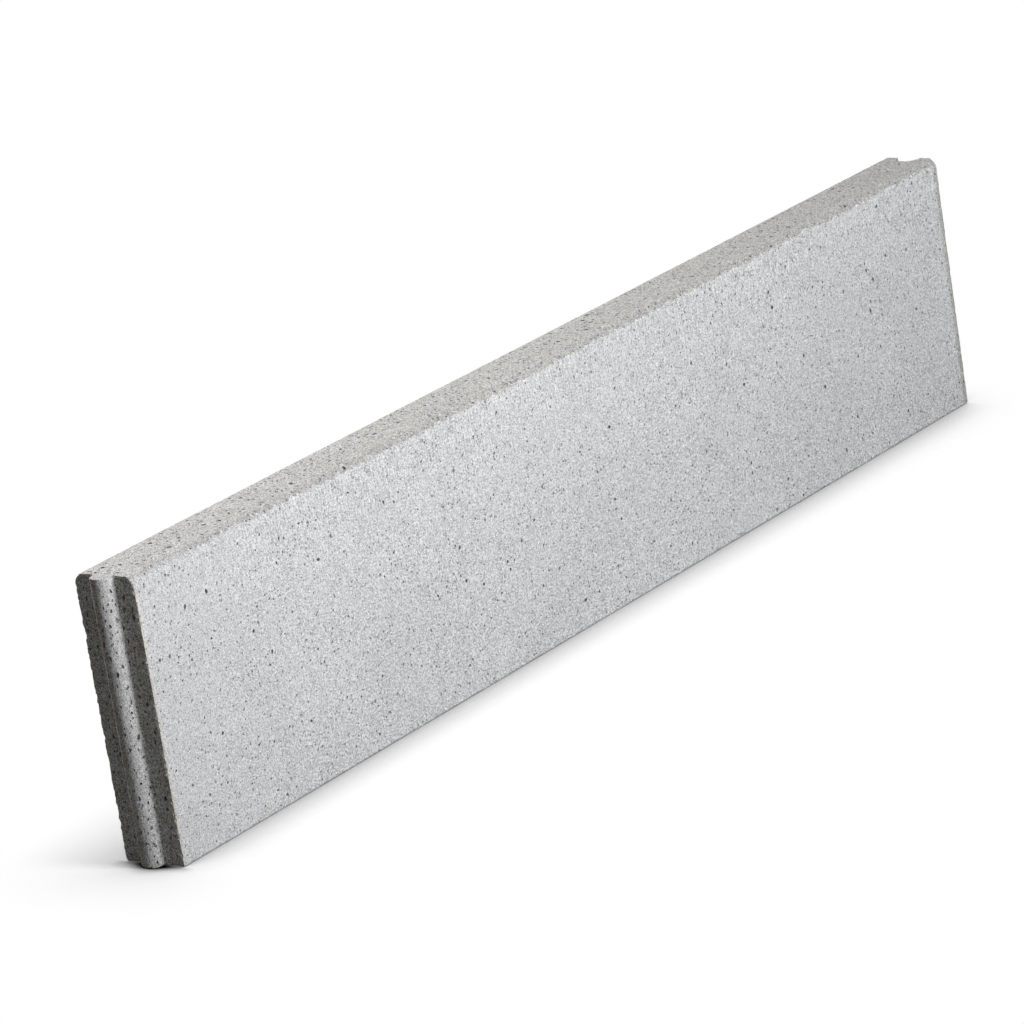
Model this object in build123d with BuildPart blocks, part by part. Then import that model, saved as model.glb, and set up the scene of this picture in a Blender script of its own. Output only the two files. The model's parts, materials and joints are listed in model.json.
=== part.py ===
import os

from build123d import *

# A concrete edging kerb: one cast slab with a tongue on one end and a groove on the other.
# The origin is the middle of the bed face. +X runs along the kerb, away from the tongue,
# -Y is the face towards the path, and +Z is up. All sizes are in millimetres.

# Laying size, measured between the two joint faces
length = 1000.0
height = 200.0
thickness = 50.0

# Both long arrises of the top are bevelled
top_chamfer = 5.0

# Half-round tongue, full height, centred on the joint face: it stands one radius proud
tongue_radius = 9.0

# Groove that takes the next kerb's tongue, with this much room all round it
joint_clearance = 1.0

# Small soft corner where the tongue or the groove meets its joint face
joint_fillet = 0.8

# Every other edge of the casting is slightly blunt
arris_radius = 1.0

groove_radius = tongue_radius + joint_clearance

# The two joint faces
tongue_end = -length / 2
groove_end = length / 2

with BuildPart() as kerb_stone:
    # Plan of the casting: slab, tongue and groove
    with BuildSketch(Plane.XY) as plan:
        Rectangle(length, thickness)
        with Locations((tongue_end, 0)):
            Circle(tongue_radius)
        with Locations((groove_end, 0)):
            Circle(groove_radius, mode=Mode.SUBTRACT)
        joint_corners = [
            corner for corner in plan.vertices() if abs(corner.Y) < thickness / 2 - joint_fillet
        ]
        fillet(joint_corners, radius=joint_fillet)
    extrude(amount=height)

    # Bevels along the top
    top_arrises = kerb_stone.edges().filter_by(Axis.X).group_by(Axis.Z)[-1]
    chamfer(top_arrises, length=top_chamfer)

    # Blunt edges all round
    joint_edges = kerb_stone.edges().filter_by(Axis.Z).filter_by(
        lambda edge: abs(edge.center().Y) < thickness / 2 - joint_fillet
    )
    blunt_edges = kerb_stone.edges() - joint_edges
    fillet(blunt_edges, radius=arris_radius)

kerb_stone.part.label = "kerb_stone"

os.makedirs("parts", exist_ok=True)
export_step(kerb_stone.part, "parts/kerb_stone.step")
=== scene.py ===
import json
import math
import random

import bmesh
import bpy
import numpy as np
from mathutils import Matrix, Vector, kdtree, noise
from mathutils.geometry import delaunay_2d_cdt


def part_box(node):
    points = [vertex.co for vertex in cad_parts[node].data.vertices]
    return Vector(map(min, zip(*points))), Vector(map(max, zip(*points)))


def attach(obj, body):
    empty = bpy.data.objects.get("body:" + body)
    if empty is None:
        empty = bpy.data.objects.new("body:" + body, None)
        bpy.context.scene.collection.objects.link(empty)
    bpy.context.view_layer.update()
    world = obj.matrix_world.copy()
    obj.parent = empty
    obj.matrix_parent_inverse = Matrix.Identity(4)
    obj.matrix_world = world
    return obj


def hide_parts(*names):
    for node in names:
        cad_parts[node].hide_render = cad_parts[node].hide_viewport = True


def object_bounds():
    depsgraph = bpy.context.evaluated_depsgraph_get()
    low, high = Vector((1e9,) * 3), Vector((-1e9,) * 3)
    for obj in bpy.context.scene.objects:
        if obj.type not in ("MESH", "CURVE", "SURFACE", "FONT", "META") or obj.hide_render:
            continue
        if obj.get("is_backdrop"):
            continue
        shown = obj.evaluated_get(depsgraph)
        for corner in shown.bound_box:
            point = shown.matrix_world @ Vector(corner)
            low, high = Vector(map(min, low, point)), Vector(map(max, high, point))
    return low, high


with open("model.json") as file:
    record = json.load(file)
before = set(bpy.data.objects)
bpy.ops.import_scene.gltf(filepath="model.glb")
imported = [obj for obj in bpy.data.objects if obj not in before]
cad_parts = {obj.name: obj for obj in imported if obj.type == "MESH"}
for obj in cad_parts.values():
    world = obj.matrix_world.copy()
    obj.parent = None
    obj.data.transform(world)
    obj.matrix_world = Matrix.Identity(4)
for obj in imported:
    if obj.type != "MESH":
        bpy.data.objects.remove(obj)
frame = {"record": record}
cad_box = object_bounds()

# A cast concrete edging kerb with a tongue and a groove. Its skin is made here side by side from
# the frame's sizes, with open pores, chipped arrises and slight unevenness. Metres throughout.

mm = 0.001
hair = 1e-6
draw = random.Random(41)

# Sizes that the frame gives
mounts = {mount["name"]: mount for mount in frame["record"]["mounts"]}
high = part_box("kerb_stone")[1]
half_thickness = high.y
height = high.z
tongue_face = mounts["tongue"]["pos_m"][0]
groove_face = mounts["groove"]["pos_m"][0]
length = groove_face - tongue_face
tongue_radius = mounts["tongue"]["dims"]["r_mm"] * mm
groove_radius = mounts["groove"]["dims"]["r_mm"] * mm

# Sizes of the mould that the record doesn't state
top_bevel = 5 * mm
joint_fillet = 0.8 * mm
bevel_foot = height - top_bevel
bevel_width = top_bevel * math.sqrt(2)
half_top = half_thickness - top_bevel

# How close together the points of the skin lie
long_step = 1.7 * mm
upright_step = 1.3 * mm
curve_step = 1.5 * mm
root_points = 4

# Rows of points beside each arris: how far in they lie and how far apart the points are
rows_beside_arris = ((0.8 * mm, 1.7 * mm), (2.0 * mm, 2.6 * mm), (4.2 * mm, 4.4 * mm))

# Loose points further in, how far each strays, and how far they keep from the arrises
field_step = 11 * mm
field_stray = 0.3 * field_step
field_margin = 8 * mm
tongue_margin = 12 * mm
groove_margin = 22 * mm

# The least room between an arris and the points or pores inside it, between crossing rows, and
# between a pore and the points round it
edge_room = 0.7 * mm
row_room = 0.5 * mm
lip_room = 0.3 * mm

# An end's direction at a point is taken over this far each way along its outline
tangent_reach = 0.4 * mm


# Outlines

def evenly(start, end, step):
    """Distances from start to end, both included, about a step apart."""
    return np.linspace(start, end, max(1, round(abs(end - start) / step)) + 1)


def joint_outline(face_x, radius):
    """An end face in plan, from front to back, with its half-round tongue or groove."""
    turn_end = math.acos(joint_fillet / (radius + joint_fillet))
    fillet_y = (radius + joint_fillet) * math.sin(turn_end)
    flange = [(0, y) for y in evenly(half_thickness, half_top, curve_step)[:-1]]
    flange += [(0, y) for y in evenly(half_top, fillet_y, curve_step)[:-1]]
    root = [(joint_fillet * (1 - math.cos(turn)), fillet_y - joint_fillet * math.sin(turn))
            for turn in np.linspace(0, turn_end, root_points)]
    crown = [(radius * math.cos(turn), radius * math.sin(turn))
             for turn in evenly(turn_end, 0, curve_step / radius)[1:]]
    half = flange + root + crown
    whole = [(reach, -y) for reach, y in half] + [(reach, y) for reach, y in reversed(half[:-1])]
    return np.array([(face_x - reach, y) for reach, y in whole])


tongue_outline = joint_outline(tongue_face, tongue_radius)
groove_outline = joint_outline(groove_face, groove_radius)


def within(outline, half_width):
    """The part of an end face's outline no further than half_width from the middle."""
    return [(x, y) for x, y in outline if abs(y) < half_width + hair]


# Sides of the casting, each in a plane of its own

# How many times as long as it is wide a pore can be, on the ends and elsewhere
longest_end_pore = 2.3
longest_pore = 1.5

# A pore's room, as a multiple of its longest half
pore_room = 1.2


class Side:
    """One flat or unrolled side: its outline and inner points, and where they lie on the casting."""

    def __init__(self, outline, inner, place, pores, pore_size=1.0, facing="side"):
        self.outline = np.array(outline)
        self.inner = np.array(inner)
        self.place = place
        self.pores = pores
        self.pore_size = pore_size
        self.facing = facing
        self.longest_pore = longest_end_pore if facing == "end" else longest_pore
        self.pore_room = pore_room * self.longest_pore


def open_ring(*sides):
    """A closed outline from its sides in order, each without its last point."""
    return [tuple(point) for side in sides for point in list(side)[:-1]]


def rectangle_outline(width, tall, tall_step):
    """A rectangle's outline, with its own step up the two short sides."""
    across = evenly(0, width, long_step)
    up = evenly(0, tall, tall_step)
    return open_ring([(u, 0) for u in across], [(width, v) for v in up],
                     [(u, tall) for u in across[::-1]], [(0, v) for v in up[::-1]])


def rows_in_rectangle(width, tall):
    """Rows of points beside each edge, closer together the nearer they are, and a loose field."""
    points = []
    for inset, step in rows_beside_arris:
        if inset < tall / 2:
            across = evenly(inset, width - inset, step)
            points += [(u, v) for u in across for v in (inset, tall - inset)]
            up = evenly(inset, tall - inset, step)[1:-1]
            points += [(u, v) for v in up for u in (inset, width - inset)]
    points += loose_field(field_margin, width - field_margin, field_margin, tall - field_margin)
    return points


def loose_field(left, right, bottom, top):
    """Points about a step apart in a rectangle, each a little out of line."""
    if top <= bottom:
        return []
    return [(u + draw.uniform(-field_stray, field_stray), v + draw.uniform(-field_stray, field_stray))
            for u in evenly(left, right, field_step)[1:-1]
            for v in evenly(bottom, top, field_step)]


def flat_side(origin, up, normal, tall, tall_step, pores):
    """A rectangle as long as the kerb, a long face or a bevel."""
    origin, up, normal = Vector(origin), Vector(up), Vector(normal)
    across = Vector((1, 0, 0))

    def place(u, v, depth):
        return origin + across * u + up * v - normal * depth, normal

    outline = rectangle_outline(length, tall, tall_step)
    return Side(outline, rows_in_rectangle(length, tall), place, pores)


def level_side(z, half_width, outward, pores, pore_size=1.0):
    """The top or the bed: between the two end outlines, as wide as half_width each way."""
    near = within(tongue_outline, half_width)
    far = within(groove_outline, half_width)
    along = evenly(tongue_face, groove_face, long_step)
    outline = open_ring([(x, -half_width) for x in along], far,
                        [(x, half_width) for x in along[::-1]], near[::-1])
    inner = []
    for inset, step in rows_beside_arris:
        reach = half_width - inset
        inner += [(x, side * reach) for x in evenly(tongue_face + inset, groove_face - inset, step)
                  for side in (-1, 1)]
        inner += [(x + inset, y) for x, y in near if abs(y) < reach - row_room]
        inner += [(x - inset, y) for x, y in far if abs(y) < reach - row_room]
    inner += loose_field(tongue_face + tongue_margin, groove_face - groove_margin,
                         field_margin - half_width, half_width - field_margin)
    normal = Vector((0, 0, outward))

    def place(x, y, depth):
        return Vector((x, y, z - outward * depth)), normal

    return Side(outline, inner, place, pores, pore_size, "level")


def end_side(plan, outward, pores):
    """An end face, unrolled along its plan outline, with the two bevelled corners at its top."""
    run = np.concatenate(([0], np.cumsum(np.hypot(*np.diff(plan, axis=0).T))))
    total = run[-1]
    up = evenly(0, bevel_foot, upright_step)
    slope = [(share * top_bevel, bevel_foot + share * top_bevel)
             for share in evenly(0, bevel_width, long_step) / bevel_width]
    top = [s for s in run if top_bevel - hair < s < total - top_bevel + hair]
    outline = open_ring([(s, 0) for s in run], [(total, z) for z in up],
                        [(total - s, z) for s, z in slope], [(s, height) for s in top[::-1]],
                        slope[::-1], [(0, z) for z in up[::-1]])
    rows = evenly(0, height, upright_step)[1:-1]
    inner = [(s, z) for s in run[1:-1] for z in rows
             if min(s, total - s) + height - z > top_bevel + edge_room]

    def plan_point(s):
        return np.array([np.interp(s, run, plan[:, axis]) for axis in (0, 1)])

    def place(s, z, depth):
        along = Vector(plan_point(s + tangent_reach) - plan_point(s - tangent_reach)).normalized()
        normal = Vector((outward * along.y, -outward * along.x, 0))
        return Vector((*plan_point(s), z)) - normal * depth, normal

    return Side(outline, inner, place, pores, facing="end")


# How many pores each side has, and how much larger they are on the top
face_pores = 900
bevel_pores = 40
top_pores = 330
bed_pores = 120
end_pores = 260
top_pore_size = 1.35


def casting_sides():
    """Every side of the casting: long faces, bevels, top, bed and ends."""
    slant = math.sqrt(0.5)
    faces = [flat_side((tongue_face, side * half_thickness, 0), (0, 0, 1), (0, side, 0),
                       bevel_foot, upright_step, face_pores) for side in (-1, 1)]
    bevels = [flat_side((tongue_face, side * half_thickness, bevel_foot), (0, -side * slant, slant),
                        (0, side * slant, slant), bevel_width, long_step, bevel_pores)
              for side in (-1, 1)]
    return faces + bevels + [
        level_side(height, half_top, 1, top_pores, top_pore_size),
        level_side(0, half_thickness, -1, bed_pores),
        end_side(tongue_outline, -1, end_pores),
        end_side(groove_outline, 1, end_pores),
    ]


# Pores

# Radii in millimetres: most pores are near the smallest, and a higher rate makes large ones rarer
smallest_pore = 0.55
largest_pore = 1.3
pore_growth_rate = 5.0

# A cell of the grid in which pores look for their neighbours
cell_size = 6 * mm
tries_per_pore = 40

# How far the points of a pore's lip stray: round it, as a share of a step, and in and out
lip_sway = 0.2
lip_reaches = (0.85, 1.15)


def pore_ring(centre, radius, stretch, lean, count):
    """A wobbly closed ring of points, longer one way than the other."""
    ring = []
    for step in range(count):
        turn = 2 * math.pi * (step + draw.uniform(-lip_sway, lip_sway)) / count
        reach = radius * draw.uniform(*lip_reaches)
        point = Vector((reach * stretch * math.cos(turn), reach * math.sin(turn)))
        ring.append(Vector(centre) + Matrix.Rotation(lean, 2) @ point)
    return ring


def search_tree(points):
    """A tree that finds the nearest of many points."""
    tree = kdtree.KDTree(len(points))
    for number, point in enumerate(points):
        tree.insert((*point, 0)[:3], number)
    tree.balance()
    return tree


def scatter_pores(side):
    """Pores at random places on a side, clear of its edges and of each other."""
    spread_low, spread_high = side.outline.min(axis=0), side.outline.max(axis=0)
    edge = search_tree(side.outline)
    room = side.pore_room
    taken, pores = {}, []
    tries = 0
    while len(pores) < side.pores and tries < tries_per_pore * side.pores:
        tries += 1
        centre = [draw.uniform(a, b) for a, b in zip(spread_low, spread_high)]
        grown = smallest_pore + draw.expovariate(pore_growth_rate)
        radius = min(grown, largest_pore) * side.pore_size * mm
        near_edge = edge.find((*centre, 0))[2] < room * radius + edge_room
        if near_edge or not inside(centre, side.outline):
            continue
        cell = tuple(int(value // cell_size) for value in centre)
        near = [other for i in (-1, 0, 1) for j in (-1, 0, 1)
                for other in taken.get((cell[0] + i, cell[1] + j), [])]
        if any(math.dist(centre, other) < room * (radius + other_radius)
               for other, other_radius in near):
            continue
        taken.setdefault(cell, []).append((centre, radius))
        pores.append((centre, radius))
    return pores


def inside(point, outline):
    """Whether a point lies in a closed outline, by counting the edges to its right."""
    x, y = outline[:, 0], outline[:, 1]
    x_next, y_next = np.roll(x, -1), np.roll(y, -1)
    crosses = (y > point[1]) != (y_next > point[1])
    reach = x + (point[1] - y) * (x_next - x) / np.where(y_next == y, 1, y_next - y)
    return bool(np.count_nonzero(crosses & (reach > point[0])) % 2)


def clear_of_pores(points, pores, room):
    """The points that no pore's lip comes near."""
    if not pores or not len(points):
        return points
    tree = search_tree(points)
    lost = {number for centre, radius in pores
            for _, number, _ in tree.find_range((*centre, 0), room * radius + lip_room)}
    return np.array([point for number, point in enumerate(points) if number not in lost])


# The skin

# What delaunay_2d_cdt is asked for: triangles inside the outline only, and points joined only
# where they coincide
fill_inside = 1
weld_gap = 1e-9

# Points of two sides nearer than this are one point on their arris
shared_gap = 0.01 * mm

# How far a pore on an end leans from upright, and how many points its lip has
end_lean = 0.35
lip_counts = (6, 7, 7, 8)

# A pore's depth as a share of its radius, and its walls' foot as a share of its width and depth
pore_depths = (0.7, 1.5)
wall_insets = (0.62, 0.82)
wall_depths = (0.55, 0.8)

# Painted shade in a pore: how dark its floor is made, and how dark its walls are beside it
pore_floor_shades = (0.55, 1.0)
wall_share = 0.85


def closed_loop(start, count):
    """The edges of a closed ring of points numbered from start."""
    return [(start + i, start + (i + 1) % count) for i in range(count)]


class Skin:
    """The casting's points and triangles, with what each needs for relief, colour and painted pore
    shade.
    """

    def __init__(self):
        self.points = []
        self.normals = []
        self.triangles = []
        self.facing = []
        # How much painted shade each triangle gets in a pore
        self.pore_shade = []
        self.shared = {}

    def add_point(self, point, normal):
        self.points.append(point)
        self.normals.append(normal.copy())
        return len(self.points) - 1

    def add_shared_point(self, point, normal):
        """A point on an arris, which two or three sides have in common."""
        key = tuple(round(value / shared_gap) for value in point)
        if key not in self.shared:
            self.shared[key] = self.add_point(point, Vector((0, 0, 0)))
        index = self.shared[key]
        self.normals[index] += normal
        return index

    def add_triangle(self, corners, facing, pore_shade=0.0):
        """A triangle, unless two of its corners are one point on an arris."""
        if len(set(corners)) == 3:
            self.triangles.append(corners)
            self.facing.append(facing)
            self.pore_shade.append(pore_shade)

    def add_side(self, side):
        """Triangles all over a side but for its pores, and then the pores' walls and floors."""
        pores = scatter_pores(side)
        lips = []
        for centre, radius in pores:
            stretch = draw.uniform(1.0, side.longest_pore)
            upright = side.facing == "end"
            lean = draw.gauss(math.pi / 2, end_lean) if upright else draw.uniform(0, math.pi)
            lips.append(pore_ring(centre, radius, stretch, lean, draw.choice(lip_counts)))
        inner = clear_of_pores(side.inner, pores, side.pore_room)
        outline_count = len(side.outline)
        flat = [Vector(point) for point in side.outline] + [Vector(point) for point in inner]
        first_lip = len(flat)
        edges = closed_loop(0, outline_count)
        pore_of = [-1] * first_lip
        for number, lip in enumerate(lips):
            edges += closed_loop(len(flat), len(lip))
            pore_of += [number] * len(lip)
            flat += lip
        placed, _, triangles, sources, _, _ = delaunay_2d_cdt(flat, edges, [], fill_inside, weld_gap)

        index, index_of = [], {}
        for point, source in zip(placed, sources):
            add = self.add_shared_point if source[0] < outline_count else self.add_point
            index.append(add(*side.place(point.x, point.y, 0)))
            index_of[source[0]] = index[-1]
        owners = [pore_of[source[0]] for source in sources]
        for corners in triangles:
            owner = owners[corners[0]]
            if owner < 0 or any(owners[corner] != owner for corner in corners):
                self.add_triangle([index[corner] for corner in corners], side.facing)
        start = first_lip
        for (centre, radius), lip in zip(pores, lips):
            self.sink_pore(side, centre, radius, lip, [index_of[start + i] for i in range(len(lip))])
            start += len(lip)

    def sink_pore(self, side, centre, radius, lip, lip_points):
        """Walls and floor of one pore, below its lip, darkened with painted shade."""
        depth = radius * draw.uniform(*pore_depths)
        # Painted shade: the pore's floor is darkened, and its walls a little less
        pore_floor_shade = draw.uniform(*pore_floor_shades)
        pore_wall_shade = wall_share * pore_floor_shade
        middle = Vector(centre)
        wall = []
        for point in lip:
            reach = middle.lerp(point, draw.uniform(*wall_insets))
            wall_depth = depth * draw.uniform(*wall_depths)
            wall.append(self.add_point(*side.place(reach.x, reach.y, wall_depth)))
        floor = self.add_point(*side.place(middle.x, middle.y, depth))
        for i, after in closed_loop(0, len(lip)):
            self.add_triangle([lip_points[i], lip_points[after], wall[after]], side.facing, pore_wall_shade)
            self.add_triangle([lip_points[i], wall[after], wall[i]], side.facing, pore_wall_shade)
            self.add_triangle([wall[i], wall[after], floor], side.facing, pore_floor_shade)


# Relief: worn arrises, chips and an uneven skin

# How deep the skin's unevenness goes in millimetres, and how wide its bumps are
swell_depth, swell_size = 0.13, 60 * mm
ripple_depth, ripple_size = 0.05, 7 * mm
end_pit_depth, end_pit_size = 0.3, 2.8 * mm
end_pit_level = 0.15

# Points this near an end or the foot are on it
end_band = 2 * mm
foot_band = 1 * mm

# How far from an arris its wear reaches, and how deep it goes in millimetres: the least, then more
# in short and in long stretches, then more along the foot of the sides and of the ends
wear_reach = 1.1 * mm
least_wear = 0.22
short_wear, short_wear_size = 0.55, 2.8 * mm
long_wear, long_wear_size = 0.2, 15 * mm
foot_wear = 0.5
end_foot_wear = 0.9

# The groove end's upright arrises are more rounded
groove_wear, groove_wear_reach = 0.9, 3.2 * mm
groove_wear_band = 5 * mm


def arris_segments():
    """Every arris of the casting, as pairs of points."""
    pairs = []
    for side in (-1, 1):
        for y, z in ((half_thickness, 0), (half_thickness, bevel_foot), (half_top, height)):
            pairs.append(((tongue_face, side * y, z), (groove_face, side * y, z)))
        for x in (tongue_face, groove_face):
            pairs.append(((x, side * half_thickness, 0), (x, side * half_thickness, bevel_foot)))
            pairs.append(((x, side * half_thickness, bevel_foot), (x, side * half_top, height)))
    for outline in (tongue_outline, groove_outline):
        for z, reach in ((0, half_thickness), (height, half_top)):
            level = [(x, y, z) for x, y in within(outline, reach)]
            pairs += list(zip(level, level[1:]))
    return np.array(pairs)


def distance_to_arrises(points, segments):
    """How far each point lies from the nearest arris."""
    nearest = np.full(len(points), np.inf)
    for start, end in segments:
        along = end - start
        share = np.clip((points - start) @ along / (along @ along), 0, 1)
        gap = points - start - share[:, None] * along
        nearest = np.minimum(nearest, np.einsum("ij,ij->i", gap, gap))
    return np.sqrt(nearest)


def rough(point, size, salt=0.0):
    """Smooth noise from about -1 to 1, with bumps of the given size. The salt picks a pattern."""
    return noise.noise(Vector(point) / size + Vector((salt, 2 * salt, -salt)))


def relief(points, edge_gap):
    """How far each point sinks into the casting."""
    sink = np.zeros(len(points))
    for number, (point, gap) in enumerate(zip(points, edge_gap)):
        at_end = groove_face - abs(point[0]) < end_band
        uneven = swell_depth * (1 + rough(point, swell_size))
        uneven += ripple_depth * (1 + rough(point, ripple_size, 3.1))
        if at_end:
            uneven += end_pit_depth * max(0, end_pit_level + rough(point, end_pit_size, 7.7))
        blunt = least_wear + short_wear * max(0, rough(point, short_wear_size, 5.3))
        blunt += long_wear * max(0, rough(point, long_wear_size, 9.1))
        if point[2] < foot_band:
            blunt += end_foot_wear if at_end else foot_wear
        sink[number] = uneven + blunt * max(0.0, 1 - gap / wear_reach) ** 2
        if point[0] > groove_face - groove_wear_band and abs(point[1]) > half_top:
            sink[number] += groove_wear * max(0.0, 1 - gap / groove_wear_reach) ** 2
    return sink * mm


# Chips along each kind of arris: how many to a metre, and the widest in millimetres
upright_chips = (330, 1.8)
bevel_end_chips = (200, 1.3)
foot_chips = (70, 2.6)
bevel_foot_chips = (90, 2.4)
top_chips = (70, 2.0)

# Widths in millimetres: most chips are near the narrowest, and a higher rate makes wide ones rarer
narrowest_chip = 0.8
chip_growth_rate = 3.0

# Chips along the end faces' outlines: the share of places that have one, and their widths
outline_chip_share = 0.55
outline_chip_widths = (0.9, 2.0)

# A chip's depth as a share of its width
chip_depths = (0.3, 0.55)

# Two larger chips that the photo shows on the tongue end: side, height, width and depth
large_chips = ((1, 157 * mm, 3.2 * mm, 1.2 * mm), (-1, 173 * mm, 2.6 * mm, 0.8 * mm))


def chip_places():
    """Chips along the arrises: where, how wide and how deep."""
    chips = [(Vector((tongue_face, side * half_thickness, z)), width, depth)
             for side, z, width, depth in large_chips]

    def along(start, end, per_metre, widest):
        start, end = Vector(start), Vector(end)
        for _ in range(round((end - start).length * per_metre)):
            width = min(narrowest_chip + draw.expovariate(chip_growth_rate), widest) * mm
            chips.append((start.lerp(end, draw.random()), width, width * draw.uniform(*chip_depths)))

    for side in (-1, 1):
        edge_y, top_y = side * half_thickness, side * half_top
        for x in (tongue_face, groove_face):
            along((x, edge_y, 0), (x, edge_y, bevel_foot), *upright_chips)
            along((x, edge_y, bevel_foot), (x, top_y, height), *bevel_end_chips)
        for y, z, chipping in ((edge_y, 0, foot_chips), (edge_y, bevel_foot, bevel_foot_chips),
                               (top_y, height, top_chips)):
            along((tongue_face, y, z), (groove_face, y, z), *chipping)
    for outline in (tongue_outline, groove_outline):
        for z in (0, height):
            for x, y in outline[::2]:
                if draw.random() < outline_chip_share:
                    width = draw.uniform(*outline_chip_widths) * mm
                    chips.append((Vector((x, y, z)), width, width * draw.uniform(*chip_depths)))
    return chips


def carve_chips(points, sink):
    """Makes the points near each chip's middle sink further."""
    tree = search_tree(points)
    for centre, width, depth in chip_places():
        for _, number, gap in tree.find_range(centre, width):
            sink[number] += depth * (1 - (gap / width) ** 2)


# Where the colour beside an arris fades out, and the angle from which a fold is sharp
edge_band = 5 * mm
sharp_fold = math.radians(27)


def place_in_scene(name, data):
    """A new object in the scene."""
    thing = bpy.data.objects.new(name, data)
    bpy.context.scene.collection.objects.link(thing)
    return thing


def make_kerb():
    """The whole casting as one closed mesh."""
    skin = Skin()
    for side in casting_sides():
        skin.add_side(side)
    points = np.array([tuple(point) for point in skin.points])
    normals = np.array([tuple(normal.normalized()) for normal in skin.normals])
    edge_gap = distance_to_arrises(points, arris_segments())
    sink = relief(points, edge_gap)
    carve_chips(points, sink)
    points -= normals * sink[:, None]

    mesh = bpy.data.meshes.new("kerb_casting")
    mesh.from_pydata(points.tolist(), [], skin.triangles)
    # The pores' painted shade, the kinds of face and the nearness of the arrises go on the mesh
    for name, domain, values in (("pore", "FACE", skin.pore_shade),
                                 ("end_face", "FACE", [facing == "end" for facing in skin.facing]),
                                 ("level_face", "FACE", [facing == "level" for facing in skin.facing]),
                                 ("edge_gap", "POINT", np.minimum(edge_gap / edge_band, 1))):
        layer = mesh.attributes.new(name, "FLOAT", domain)
        layer.data.foreach_set("value", np.array(values, dtype=np.float32))
    turn_outwards(mesh)
    mesh.polygons.foreach_set("use_smooth", [True] * len(mesh.polygons))
    mesh.set_sharp_from_angle(angle=sharp_fold)
    return place_in_scene("kerb_casting", mesh)


def turn_outwards(mesh):
    """Makes every triangle face out of the casting."""
    work = bmesh.new()
    work.from_mesh(mesh)
    bmesh.ops.recalc_face_normals(work, faces=work.faces)
    work.to_mesh(mesh)
    work.free()


# Shader arithmetic

class Value:
    """A socket that takes part in Python sums: each sum adds its Math node."""

    def __init__(self, sheet, socket):
        self.sheet = sheet
        self.socket = socket

    def combine(self, operation, first, second):
        return self.sheet.add("ShaderNodeMath", {0: first, 1: second}, operation=operation)

    def __add__(self, other):
        return self.combine("ADD", self, other)

    def __radd__(self, other):
        return self.combine("ADD", other, self)

    def __sub__(self, other):
        return self.combine("SUBTRACT", self, other)

    def __rsub__(self, other):
        return self.combine("SUBTRACT", other, self)

    def __mul__(self, other):
        return self.combine("MULTIPLY", self, other)

    def __rmul__(self, other):
        return self.combine("MULTIPLY", other, self)

    def __truediv__(self, other):
        return self.combine("DIVIDE", self, other)

    def __pow__(self, other):
        return self.combine("POWER", self, other)

    def atleast(self, other):
        return self.combine("MAXIMUM", self, other)

    def atmost(self, other):
        return self.combine("MINIMUM", self, other)


class Sheet:
    """A material's or the world's node tree."""

    def __init__(self, tree):
        self.tree = tree
        tree.nodes.clear()

    def add(self, kind, sockets=None, output=0, **settings):
        """A node, its settings made before its sockets. A tuple of outputs gives each of them."""
        node = self.tree.nodes.new(kind)
        for name, value in settings.items():
            setattr(node, name, value)
        for name, value in (sockets or {}).items():
            if isinstance(value, Value):
                self.tree.links.new(value.socket, node.inputs[name])
            else:
                node.inputs[name].default_value = value
        if not len(node.outputs):
            return node
        if isinstance(output, tuple):
            return [Value(self, node.outputs[name]) for name in output]
        return Value(self, node.outputs[output])

    def mix(self, first, second, share):
        """Two colours mixed by a share."""
        return self.add("ShaderNodeMix", {0: share, 6: first, 7: second}, 2, data_type="RGBA")

    def shade(self, colour, tone):
        """A colour made lighter or darker by a factor."""
        return self.add("ShaderNodeVectorMath", {0: colour, "Scale": tone}, operation="SCALE")

    def vector(self, operation, *vectors):
        """Vector arithmetic on one vector or two."""
        return self.add("ShaderNodeVectorMath", dict(enumerate(vectors)), operation=operation)

    def step(self, value, start, end):
        """A soft step from 0 at start to 1 at end."""
        return self.add("ShaderNodeMapRange", {"Value": value, "From Min": start, "From Max": end},
                        interpolation_type="SMOOTHSTEP")

    def fade(self, value, start, end):
        """A soft step from 1 at start to 0 at end."""
        return 1 - self.step(value, start, end)

    def band(self, value, rise, fall):
        """1 from where the rise ends to where the fall starts, and 0 well outside."""
        return self.step(value, *rise) * self.fade(value, *fall)

    def attribute(self, name):
        return self.add("ShaderNodeAttribute", output="Fac", attribute_name=name)

    def noise(self, place, size, detail=2.0):
        """Noise about 0, mostly within 0.25 each way, with bumps about as wide as size."""
        sockets = {"Vector": place, "Scale": 1 / size, "Detail": detail}
        return self.add("ShaderNodeTexNoise", sockets, "Fac") - 0.5

    def grains(self, place, size, flat="3D"):
        """Grains about as wide as size: the distance from its middle and two random numbers for each."""
        distance, colour = self.add("ShaderNodeTexVoronoi", {"Vector": place, "Scale": 1 / size},
                                    ("Distance", "Color"), voronoi_dimensions=flat)
        return [distance] + self.add("ShaderNodeSeparateColor", {0: colour}, ("Red", "Green"))

    def specks(self, plan, size, share, widest):
        """Round specks in a share of the grains of a flat plan, each of its own width up to widest."""
        distance, lot, breadth = self.grains(plan, size, "2D")
        chosen = self.step(lot + share, 1, 1.02)
        return chosen * self.fade(distance * (size / widest) / (0.5 + 0.5 * breadth), 0.6, 1.0)


def new_material(name):
    """A material and its empty sheet."""
    material = bpy.data.materials.new(name)
    material.use_nodes = True
    return material, Sheet(material.node_tree)


def tint(red, green, blue):
    """A colour as it looks on a screen, from 0 to 255, in the linear light that Blender works in."""
    def linear(level):
        level /= 255
        return level / 12.92 if level <= 0.04045 else ((level + 0.055) / 1.055) ** 2.4
    return (linear(red), linear(green), linear(blue), 1.0)


# Concrete

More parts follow.
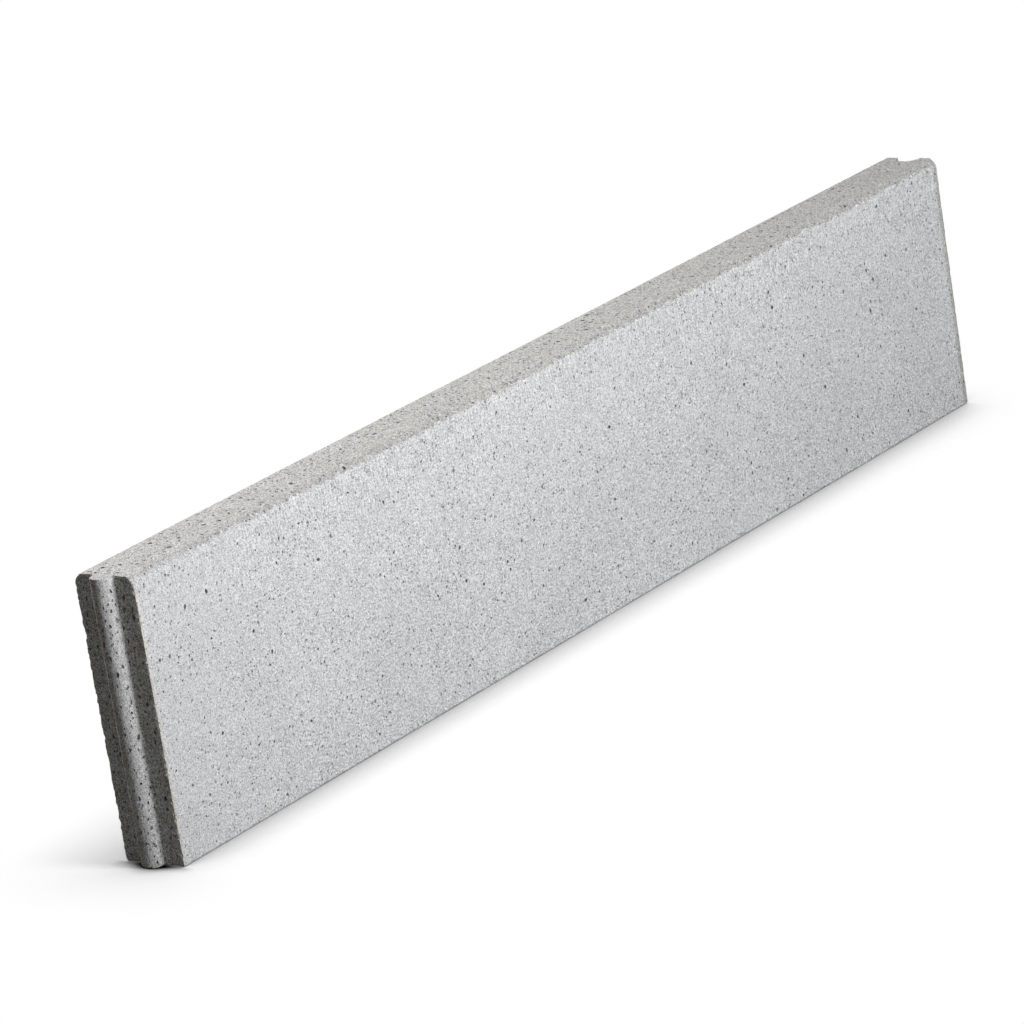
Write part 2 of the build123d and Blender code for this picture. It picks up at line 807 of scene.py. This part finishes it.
front_grey = tint(208, 209, 211)
top_beige = tint(198, 197, 194)
end_grey = tint(202, 201, 194)
# A brown for the ends, also used as painted shade down the tongue's back
end_brown_and_shade = tint(180, 172, 160)
tongue_grey = tint(203, 203, 204)
worn_grey = tint(182, 182, 179)
arris_beige = tint(214, 206, 198)
smudge_beige = tint(205, 200, 194)
fleck_white = tint(240, 240, 240)

# Painted shade in the open pores: how much light a pore's floor gives back, beside the skin round it
shaded_pore_tone = 0.15

# Grain: how wide its bumps are, how strongly they tint the concrete and how deep they go
sand_size, sand_tint, sand_depth = 0.95 * mm, 0.55, 0.5
fine_size, fine_tint, fine_depth = 0.75 * mm, 2.0, 1.1
drag_size, drag_tint, drag_depth = 1.3 * mm, 1.1, 0.5
cloud_size, cloud_tint = 60 * mm, 0.16

# Warmer smudges: how wide they are, how strong, and the noise they fade in between
smudge_size, smudge_most, smudge_edge = 20 * mm, 0.55, (0.15, 0.28)

# Drag marks are drawn out upwards, so their noise is squeezed, and most lie this near the bevel
drag_squeeze = 0.12
drag_reach = 75 * mm
drag_elsewhere = 0.3

# How much stronger the grain is on the ends and on the top and bed
end_grain, level_grain = 0.25, 0.25
end_relief = 0.4

# The grain is calmer towards the tongue end of the long faces and on the tongue's front
calm_reach, calm_sides = 230 * mm, 0.3
calm_tongue = 0.45

# Specks: the size of the cells they lie in, the share of cells that have one and the widest speck
fleck_cell, fleck_share, fleck_width = 4.0 * mm, 0.35, 0.85 * mm
hole_cell, hole_share, hole_width = 5.0 * mm, 0.2, 1.15 * mm
pinhole_cell, pinhole_share, pinhole_width = 2.8 * mm, 0.45, 0.72 * mm

# How white a fleck is, how much painted shade darkens a hole, and how deep a hole goes
fleck_strength = 0.6
hole_shade, hole_depth = 0.55, 1.5
pinhole_shade, pinhole_depth = 0.42, 0.8
palest = 0.9

# More holes than elsewhere beside the groove and on the top, and fewer on the tongue's front
groove_holes, level_holes, tongue_pinholes = 0.4, 0.2, -0.25

# The top's beige hangs over the bevels: how far at the tongue end, over what length that fades,
# and how far its edge strays
lap_depth = 2.6 * mm
lap_length = 240 * mm
lap_stray, lap_stray_size = 8 * mm, 8 * mm
lap_sway = 5 * mm
lap_edge = (0.2 * mm, 0.9 * mm)

# The pale ridges along the lap: where they rise and fall, and the noise that breaks them up
ridge_edge = (-0.4 * mm, 1.2 * mm)
ridge_size = 5 * mm
ridge_breaks = (0.1, 0.14)

# Strips of another colour, as distances over which each fades out: in from the tongue end and the
# groove end, and painted shade up from the foot where the kerb meets the floor
tongue_strip, tongue_strip_strength = (0.9 * mm, 3.6 * mm), 0.7
groove_strip = (4 * mm, 9 * mm)
foot_shade_strip, side_foot_shade, end_foot_shade = (0.4 * mm, 1.9 * mm), 0.28, 0.6

# The tongue's grey front and its back darkened with painted shade: where each rises and falls across the
# end
front_rise, front_fall = (-tongue_radius - 0.6 * mm, -tongue_radius), (-3 * mm, 1 * mm)
back_rise, back_fall = (-3 * mm, 2 * mm), (tongue_radius - 1 * mm, tongue_radius + 2 * mm)

# How brown the ends are everywhere, in smudges and beside the arrises, and painted shade down the
# tongue's back
least_brown, smudge_brown, edge_brown, tongue_back_shade = 0.1, 2.2, 0.2, 0.5

# Painted light: how much lighter the long faces and the tongue's front are made at the top than at the
# foot
side_top_light, tongue_top_light = 0.15, 0.35
darkest_tone = 0.1

# Surface: dull all over, a little smoother on some grains of sand, with fine relief
dullness, sand_gloss = 0.93, 0.1
reflection = 0.25
relief_depth = 0.22 * mm


def concrete():
    """The kerb's one material: its colours, its specks and the relief too fine for the mesh."""
    material, sheet = new_material("cast_concrete")
    place = sheet.add("ShaderNodeTexCoord", output="Object")
    along, across, up = sheet.add("ShaderNodeSeparateXYZ", {0: place}, ("X", "Y", "Z"))
    end = sheet.attribute("end_face")
    level_face = sheet.attribute("level_face")
    # The open pores' painted shade, made with the mesh
    pore = sheet.attribute("pore")
    edge = 1 - sheet.attribute("edge_gap")
    from_tongue = along - tongue_face
    from_groove = groove_face - along

    def stretched(x, y, z):
        return sheet.vector("MULTIPLY", place, (x, y, z))

    # Sand grain, cloudiness, and the mould's drag marks
    sand = sheet.grains(place, sand_size)[1] - 0.5
    fine = sheet.noise(stretched(1, 1, 0.8), fine_size, 1)
    cloud = sheet.noise(place, cloud_size, 4)
    drag = sheet.noise(stretched(1, 1, drag_squeeze), drag_size)
    smudge = sheet.noise(place, smudge_size, 3)

    # The top's beige laps raggedly over the bevels, with pale broken ridges where it ends
    ragged = sheet.noise(stretched(1, 0.3, 0.3), lap_stray_size, 3)
    lap = lap_depth * sheet.fade(from_tongue, 0, lap_length)
    above_foot = up + lap_stray * ragged + lap_sway * cloud - lap - bevel_foot
    top = sheet.step(above_foot, *lap_edge) * (1 - end)
    lapping = sheet.step(above_foot, *ridge_edge)
    broken = sheet.noise(stretched(0.35, 1, 1), ridge_size, 1)
    ridge = 4 * lapping * (1 - lapping) * (1 - end) * sheet.step(broken, *ridge_breaks)
    side = (1 - end) * (1 - top)

    # Colour of the long faces, the top and the worn strips beside the arrises
    colour = sheet.mix(front_grey, top_beige, top)
    colour = sheet.mix(colour, smudge_beige, smudge_most * sheet.step(smudge, *smudge_edge))
    beside_tongue = sheet.fade(from_tongue, *tongue_strip)
    colour = sheet.mix(colour, arris_beige, tongue_strip_strength * beside_tongue * side)
    beside_groove = sheet.fade(from_groove, *groove_strip)
    colour = sheet.mix(colour, worn_grey, beside_groove * side)

    # Colour of the ends: browner towards their arrises, and browner and darker down the tongue's back as
    # painted shade
    tongue_front = sheet.band(across, front_rise, front_fall)
    shaded_tongue_back = sheet.band(across, back_rise, back_fall)
    # Brown for the ends, with painted shade down the tongue's back
    brown_and_back_shade = least_brown + smudge_brown * smudge + edge_brown * edge + tongue_back_shade * shaded_tongue_back
    end_colour = sheet.mix(end_grey, end_brown_and_shade, brown_and_back_shade.atleast(0.0).atmost(1.0))
    end_colour = sheet.mix(end_colour, tongue_grey, tongue_front)
    colour = sheet.mix(colour, end_colour, end)
    tongue_front = tongue_front * end

    # Pale flecks, and small holes and the open pores darkened with painted shade, on a flat plan of each
    # side
    plan = sheet.add("ShaderNodeCombineXYZ", {"X": along + (across - 1.5 * along) * end,
                                              "Y": up + (across - up) * level_face})
    flecks = sheet.specks(plan, fleck_cell, fleck_share, fleck_width)
    colour = sheet.mix(colour, fleck_white, (fleck_strength * flecks + ridge).atmost(palest))
    holes_here = hole_share + groove_holes * beside_groove + level_holes * level_face
    holes = sheet.specks(plan, hole_cell, holes_here, hole_width)
    pinholes_here = pinhole_share + tongue_pinholes * tongue_front
    pinholes = sheet.specks(plan, pinhole_cell, pinholes_here, pinhole_width)
    # Painted shade in the small holes, the pinholes and the open pores
    hole_and_pore_shade = (1 - hole_shade * holes) * (1 - pinhole_shade * pinholes) * (1 - (1 - shaded_pore_tone) * pore)

    # Grain, strongest on the ends and the top, with drag marks strongest near the bevel
    near_bevel = sheet.step(up, bevel_foot - drag_reach, bevel_foot)
    drag_here = drag * side * (drag_elsewhere + (1 - drag_elsewhere) * near_bevel)
    calm = calm_sides * sheet.fade(from_tongue, 0, calm_reach) * side + calm_tongue * tongue_front
    grain = ((sand_tint * sand + fine_tint * fine + drag_tint * drag_here)
             * (1 + end_grain * end + level_grain * level_face - calm))
    # Painted shade along the foot of the sides and ends, where the kerb meets the floor
    painted_foot_shade = sheet.fade(up, *foot_shade_strip) * (side_foot_shade * side + end_foot_shade * end)
    # Painted light: the long faces and the tongue's front lighter towards the top than at the foot
    painted_top_light = (side_top_light * side + tongue_top_light * tongue_front) * (up / height - 0.5)
    tone = (1 + grain + painted_top_light + cloud_tint * cloud - painted_foot_shade).atleast(darkest_tone) * hole_and_pore_shade

    # Relief too fine for the mesh
    level = ((sand_depth * sand + fine_depth * fine - hole_depth * holes - pinhole_depth * pinholes
              + drag_depth * drag_here) * (1 + end_relief * end))
    bump = sheet.add("ShaderNodeBump", {"Strength": 1.0, "Distance": relief_depth, "Height": level},
                     "Normal")
    shader = sheet.add("ShaderNodeBsdfPrincipled",
                       {"Base Color": sheet.shade(colour, tone),
                        "Roughness": dullness - sand_gloss * sand,
                        "Normal": bump, "Specular IOR Level": reflection})
    sheet.add("ShaderNodeOutputMaterial", {"Surface": shader})
    return material


# Studio

# What the floor looks like, and how much of the light on it goes back up to the kerb
floor_half_size = 6.0
floor_white = 0.85
floor_glow = 0.55
floor_bounce = 0.25

# The darkening of the floor near the kerb, from how much of the open sky it sees
contact_reach = 65 * mm
contact_depth = 0.5
contact_most = 1.22
contact_power = 2.4

# The darkening at the foot of the tongue end, beside the slab and beside the tongue
foot_reach = 12 * mm
foot_power = 1.6
slab_foot_shade = 0.45
tongue_foot_shade = 0.35

# Beyond this distance from a box a little shorter than the kerb the floor is plain white
shadow_reach = 98 * mm
shadow_middle = (-0.06, 0, 0)
shadow_half = (0.44, half_thickness, 0)


def background_rays(sheet):
    """1 for rays that come straight from the camera or by a reflection or glass."""
    camera, glossy, clear = sheet.add("ShaderNodeLightPath", {},
                                      ("Is Camera Ray", "Is Glossy Ray", "Is Transmission Ray"))
    return camera.atleast(glossy).atleast(clear)


def contact_light(sheet, place, gap_from):
    """How light the floor is: 1 in the open, and darker where the kerb stands close."""
    open_sky = sheet.add("ShaderNodeAmbientOcclusion", {"Distance": contact_reach}, "AO", samples=8)
    shade = contact_depth * (2 * (1 - open_sky)).atmost(contact_most) ** contact_power

    def nearness(gap):
        return (1 - gap / foot_reach).atleast(0.0) ** foot_power

    slab_gap = gap_from((0, 0, 0), (length / 2, half_thickness, 0))
    tongue_gap = (gap_from((tongue_face, 0, 0), (0, 0, 0)) - tongue_radius).atleast(0.0)
    foot_shade = slab_foot_shade * nearness(slab_gap) + tongue_foot_shade * nearness(tongue_gap)
    along = sheet.add("ShaderNodeSeparateXYZ", {0: place}, "X")
    before_tongue = sheet.fade(along, tongue_face - 3 * mm, tongue_face + 2 * mm)
    return (1 - shade - foot_shade * before_tongue).atleast(0.0)


def studio_floor():
    """A level floor that keeps the kerb's shadow near it and is plain white further off."""
    mesh = bpy.data.meshes.new("studio_floor")
    corners = [(x * floor_half_size, y * floor_half_size, 0)
               for x, y in ((-1, -1), (1, -1), (1, 1), (-1, 1))]
    mesh.from_pydata(corners, [], [(0, 1, 2, 3)])
    floor = place_in_scene("studio_floor", mesh)
    material, sheet = new_material("white_floor")
    seen = background_rays(sheet)
    place = sheet.add("ShaderNodeTexCoord", output="Object")

    def gap_from(middle, half):
        """How far a point of the floor lies outside a box."""
        away = sheet.vector("ABSOLUTE", sheet.vector("SUBTRACT", place, middle))
        away = sheet.vector("MAXIMUM", sheet.vector("SUBTRACT", away, half), (0, 0, 0))
        return sheet.add("ShaderNodeVectorMath", {0: away}, "Value", operation="LENGTH")

    def grey(level):
        return sheet.add("ShaderNodeCombineColor", {0: level, 1: level, 2: level})

    far = sheet.step(gap_from(shadow_middle, shadow_half), 0, shadow_reach)
    contact = contact_light(sheet, place, gap_from)
    matt = sheet.add("ShaderNodeBsdfDiffuse",
                     {"Color": grey(floor_bounce + seen * (floor_white * contact - floor_bounce))})
    glow = sheet.add("ShaderNodeEmission", {"Color": grey(seen * floor_glow * contact), "Strength": 1.0})
    lit = sheet.add("ShaderNodeAddShader", {0: matt, 1: glow})
    white = sheet.add("ShaderNodeEmission", {"Color": grey(contact), "Strength": 1.0})
    surface = sheet.add("ShaderNodeMixShader", {0: far * seen, 1: lit, 2: white})
    sheet.add("ShaderNodeOutputMaterial", {"Surface": surface})
    mesh.materials.append(material)
    floor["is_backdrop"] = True


# How bright the sky is for the kerb and the floor, beside the white that the camera sees
sky_light = 0.12


def studio_world():
    """White where the camera sees it, and a faint even light for the kerb and the floor."""
    world = bpy.data.worlds.new("studio")
    world.use_nodes = True
    bpy.context.scene.world = world
    sheet = Sheet(world.node_tree)
    strength = background_rays(sheet) * (1 - sky_light) + sky_light
    surface = sheet.add("ShaderNodeBackground", {"Color": (1, 1, 1, 1), "Strength": strength})
    sheet.add("ShaderNodeOutputWorld", {"Surface": surface})


def turned_to(place, aim):
    """The turn of a lamp or camera at a place that looks at its aim."""
    return (Vector(aim) - Vector(place)).to_track_quat("-Z", "Y")


def soft_lamp(name, place, aim, size, power):
    """A round lamp, with its width in metres and its power in watts."""
    light = bpy.data.lights.new(name, "AREA")
    light.shape = "DISK"
    light.size = size
    light.energy = power
    lamp = place_in_scene(name, light)
    lamp.location = place
    lamp.rotation_euler = turned_to(place, aim).to_euler()
    return lamp


def light_only(lamp, piece):
    """Keeps a lamp's light off everything but one piece, so that it throws no shadow on the floor."""
    lit = bpy.data.collections.new(lamp.name + "_lights")
    lit.objects.link(piece)
    lamp.light_linking.receiver_collection = lit


def studio_lamps(kerb):
    """A key lamp, one that grazes the tongue from behind, and a weak one for the groove end."""
    soft_lamp("key_lamp", (-0.28, -1.9, 0.75), (0.0, 0.0, 0.1), 0.7, 36)
    back_lamp = soft_lamp("back_lamp", (0.02, 1.3, 1.38), (-1.6, 0.0, 0.2), 0.3, 36)
    groove_lamp = soft_lamp("groove_lamp", (1.9, 0.3, 0.3), (0.5, 0.0, 0.1), 0.5, 3.5)
    light_only(back_lamp, kerb)
    light_only(groove_lamp, kerb)


# The camera stands near the tongue end, looks slightly down and is held at a slant
camera_place = Vector((-2.937, -2.247, 1.173))
camera_aim = Vector((-0.0686, 0.0, 0.0978))
camera_slant = math.radians(9.12)
camera_lens = 188.8
sensor_width = 36.0


def studio_camera():
    """The scene's camera, turned to its aim and then held at its slant."""
    data = bpy.data.cameras.new("camera")
    data.lens = camera_lens
    data.sensor_width = sensor_width
    camera = place_in_scene("camera", data)
    level = turned_to(camera_place, camera_aim).to_matrix()
    turn = level @ Matrix.Rotation(-camera_slant, 3, "Z")
    camera.matrix_world = Matrix.Translation(camera_place) @ turn.to_4x4()
    bpy.context.scene.camera = camera


kerb = make_kerb()
kerb.data.materials.append(concrete())
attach(kerb, "root")
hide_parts("kerb_stone")

studio_camera()
studio_world()
studio_floor()
studio_lamps(kerb)

bpy.context.scene.view_settings.view_transform = "Standard"
plain_boxes = [[list(map(float, corner)) for corner in box] for box in (cad_box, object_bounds())]
